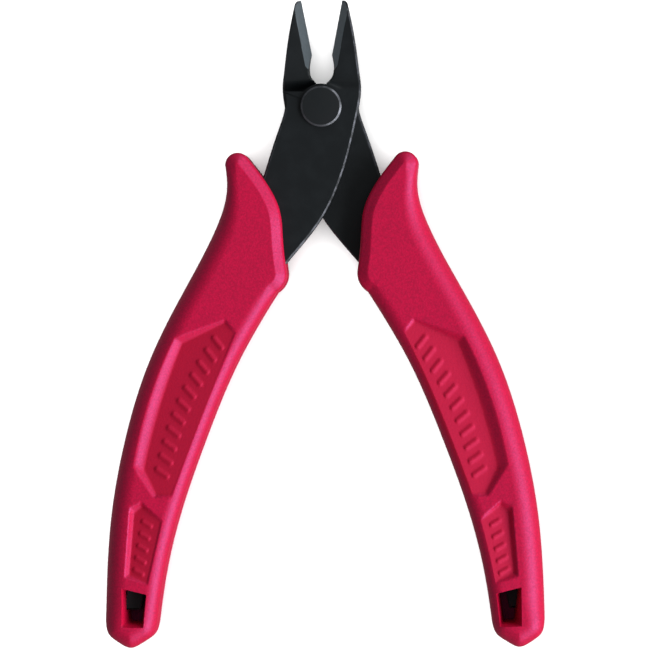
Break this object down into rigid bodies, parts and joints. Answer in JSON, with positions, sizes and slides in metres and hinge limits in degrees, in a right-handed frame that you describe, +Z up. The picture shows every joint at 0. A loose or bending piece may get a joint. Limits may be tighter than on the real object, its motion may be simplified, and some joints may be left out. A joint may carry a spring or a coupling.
{
  "type": "flush cut pliers",
  "caption": "Small flush cut pliers: two lapped steel levers on a rivet, spring opened, with bevelled jaws and moulded plastic grips.",
  "frame": {"origin": "middle of the pliers' length and width, on the flat back of the grips that they rest on", "axes": "+Y along the pliers to the jaw tips, +X to the right jaw, +Z up from the rest plane, along the pivot"},
  "size_m": [0.086, 0.1266, 0.0116],
  "materials": {
    "blackened_steel": "black oxide, satin",
    "rivet_steel": "black oxide, satin",
    "spring_wire": "drawn wire",
    "grip_plastic": "fine matt texture"
  },
  "bodies": {
    "rear_half": {"rear_lever": "blackened_steel", "right_grip": "grip_plastic", "pivot_rivet": "rivet_steel", "return_spring": "spring_wire"},
    "front_half": {"front_lever": "blackened_steel", "left_grip": "grip_plastic"}
  },
  "joints": [
    {"name": "pivot", "type": "hinge", "parent": "rear_half", "child": "front_half", "pos_m": [0, 0.04242, 0.0058], "axis": [0, 0, 1], "range_deg": [0, 21.75], "stiffness_Nm_per_rad": 0.15, "springref_deg": -20.05}
  ]
}
